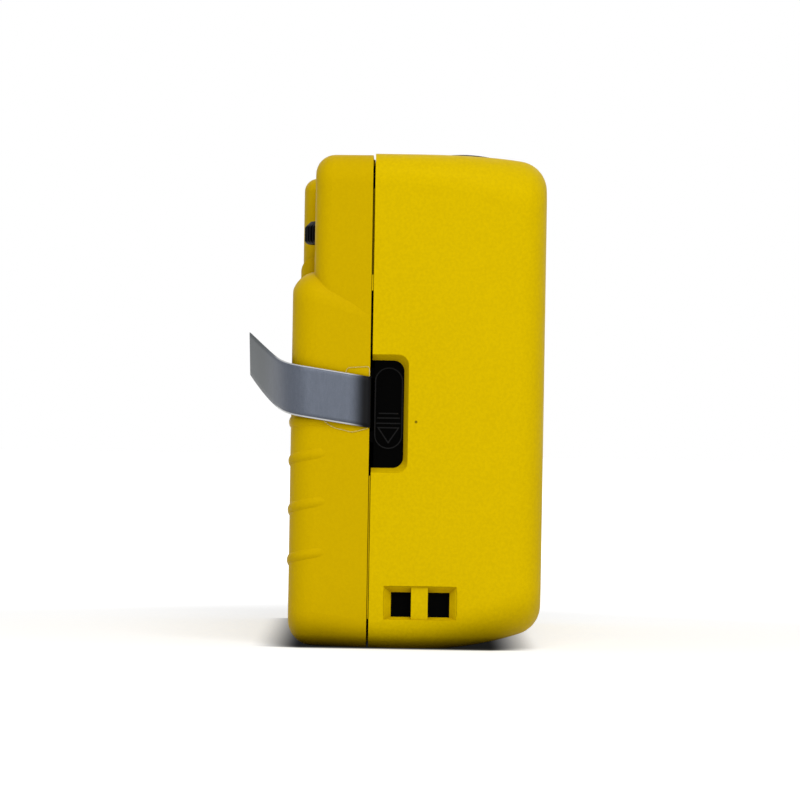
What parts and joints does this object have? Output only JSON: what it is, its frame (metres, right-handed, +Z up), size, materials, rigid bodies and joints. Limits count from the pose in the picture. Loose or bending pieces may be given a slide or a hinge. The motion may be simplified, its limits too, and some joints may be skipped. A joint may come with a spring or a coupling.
{
  "type": "reusable 35 mm film camera",
  "caption": "Compact reusable film camera with built-in flash, hinged rear cover with side latch, thumbwheel film advance and folding rewind crank.",
  "frame": {"origin": "centre of the flat base the camera stands on", "axes": "+Z up, the lens looks along -Y, the side with the door latch and strap lug is at -X, the door hinge at +X"},
  "size_m": [0.1162, 0.0409, 0.0659],
  "materials": {
    "yellow_plastic": "smooth moulded, softly glossy",
    "black_plastic": "fine moulded matt",
    "latch_plastic": "fine matt with raised marks",
    "clear_plastic": "clear moulded",
    "lens_glass": "polished",
    "steel": "bright rolled",
    "mirror_metal": "polished",
    "cell_steel": "plain printed sleeve",
    "copper": "lacquered winding",
    "board": "soldered board",
    "can_sleeve": "shrink sleeve",
    "film": "brown film base",
    "cassette_steel": "plain printed steel",
    "foam": "fine foam",
    "foil": "matt silver film",
    "lamp_red": "tinted clear",
    "control_black": "satin moulded"
  },
  "bodies": {
    "case": {"front_cover": "yellow_plastic", "chassis": "black_plastic", "light_baffle": "black_plastic", "counter_window": "clear_plastic", "wheel_pawl": "steel", "lens_bezel": "black_plastic", "front_lens": "lens_glass", "rear_lens": "lens_glass", "lens_holder": "black_plastic", "aperture_plate": "black_plastic", "shutter_plate": "black_plastic", "shutter_spring": "steel", "viewfinder_body": "black_plastic", "viewfinder_window": "clear_plastic", "flash_window": "clear_plastic", "flash_reflector": "mirror_metal", "flash_tube": "lens_glass", "flash_board": "board", "flash_capacitor": "can_sleeve", "flash_transformer": "copper", "ready_lamp": "lamp_red", "battery": "cell_steel", "battery_contacts": "steel", "battery_door_pin": "steel", "button_spring": "steel", "cassette_shell": "cassette_steel", "film_leader": "film", "hinge_pin": "steel", "screws": "steel", "rewind_button_spring": "steel", "latch_spring": "steel"},
    "rear_cover": {"rear_cover": "yellow_plastic", "eyepiece_lens": "clear_plastic", "film_window": "clear_plastic", "pressure_plate": "black_plastic", "plate_spring": "steel", "seal_foam": "foam", "seal_tab": "foil"},
    "thumbwheel": {"thumbwheel": "control_black", "take_up_spool": "black_plastic"},
    "sprocket": {"sprocket": "black_plastic"},
    "counter_dial": {"counter_dial": "black_plastic"},
    "shutter_blade": {"shutter_blade": "steel"},
    "shutter_button": {"shutter_button": "control_black", "release_rod": "steel"},
    "flash_switch": {"flash_switch": "control_black"},
    "battery_door": {"battery_door": "yellow_plastic"},
    "rewind_bush": {"rewind_bush": "black_plastic"},
    "rewind_shaft": {"rewind_shaft": "control_black"},
    "rewind_lever": {"rewind_lever": "control_black"},
    "rewind_knob": {"rewind_knob": "control_black"},
    "cassette_spool": {"cassette_spool": "black_plastic", "film_roll": "film"},
    "rewind_button": {"rewind_button": "control_black"},
    "door_latch": {"door_latch": "latch_plastic"}
  },
  "joints": [
    {"name": "rear_cover_hinge", "type": "hinge", "parent": "case", "child": "rear_cover", "pos_m": [0.0565, 0.00765, 0.0325], "axis": [0, 0, -1], "range_deg": [0, 95]},
    {"name": "door_latch_slide", "type": "slide", "parent": "case", "child": "door_latch", "axis": [0, 0, -1], "range_m": [0, 0.0022], "stiffness_N_per_m": 300, "springref_m": -0.002},
    {"name": "shutter_button_press", "type": "slide", "parent": "case", "child": "shutter_button", "axis": [0, 0, -1], "range_m": [0, 0.0014], "stiffness_N_per_m": 400, "springref_m": -0.002},
    {"name": "thumbwheel_turn", "type": "hinge", "parent": "case", "child": "thumbwheel", "pos_m": [-0.041, 0.0005, 0.0547], "axis": [0, 0, 1], "continuous": true},
    {"name": "sprocket_turn", "type": "hinge", "parent": "case", "child": "sprocket", "pos_m": [-0.0244, 0.0066, 0.0285], "axis": [0, 0, 1], "continuous": true},
    {"name": "counter_dial_turn", "type": "hinge", "parent": "case", "child": "counter_dial", "pos_m": [-0.022, -0.0045, 0.0592], "axis": [0, 0, 1], "continuous": true},
    {"name": "shutter_blade_swing", "type": "hinge", "parent": "case", "child": "shutter_blade", "pos_m": [-0.0075, -0.0121, 0.038], "axis": [0, 1, 0], "range_deg": [0, 34], "stiffness_Nm_per_rad": 0.001, "springref_deg": -22.92},
    {"name": "flash_switch_slide", "type": "slide", "parent": "case", "child": "flash_switch", "axis": [0, 0, 1], "range_m": [0, 0.005]},
    {"name": "battery_door_hinge", "type": "hinge", "parent": "case", "child": "battery_door", "pos_m": [0.0005, -0.0019, 0.0009], "axis": [1, 0, 0], "range_deg": [0, 90]},
    {"name": "rewind_lift", "type": "slide", "parent": "case", "child": "rewind_bush", "axis": [0, 0, 1], "range_m": [0, 0.006]},
    {"name": "rewind_turn", "type": "hinge", "parent": "rewind_bush", "child": "rewind_shaft", "pos_m": [0.0418, -0.0005, 0.06], "axis": [0, 0, 1], "continuous": true},
    {"name": "rewind_lever_fold", "type": "hinge", "parent": "rewind_shaft", "child": "rewind_lever", "pos_m": [0.0364, -0.0005, 0.06405], "axis": [0, -1, 0], "range_deg": [0, 150]},
    {"name": "rewind_knob_spin", "type": "hinge", "parent": "rewind_lever", "child": "rewind_knob", "pos_m": [0.0462, -0.0005, 0.063], "axis": [0, 0, 1], "continuous": true},
    {"name": "cassette_spool_turn", "type": "hinge", "parent": "case", "child": "cassette_spool", "pos_m": [0.0418, -0.0005, 0.0285], "axis": [0, 0, 1], "continuous": true},
    {"name": "rewind_button_press", "type": "slide", "parent": "case", "child": "rewind_button", "axis": [0, 0, 1], "range_m": [0, 0.001], "stiffness_N_per_m": 300, "springref_m": -0.001}
  ],
  "couplings": [
    {"joint": "sprocket_turn", "follows": "thumbwheel_turn", "ratio": 1},
    {"joint": "counter_dial_turn", "follows": "thumbwheel_turn", "ratio": -0.033333},
    {"joint": "rewind_turn", "follows": "cassette_spool_turn", "ratio": 1}
  ]
}
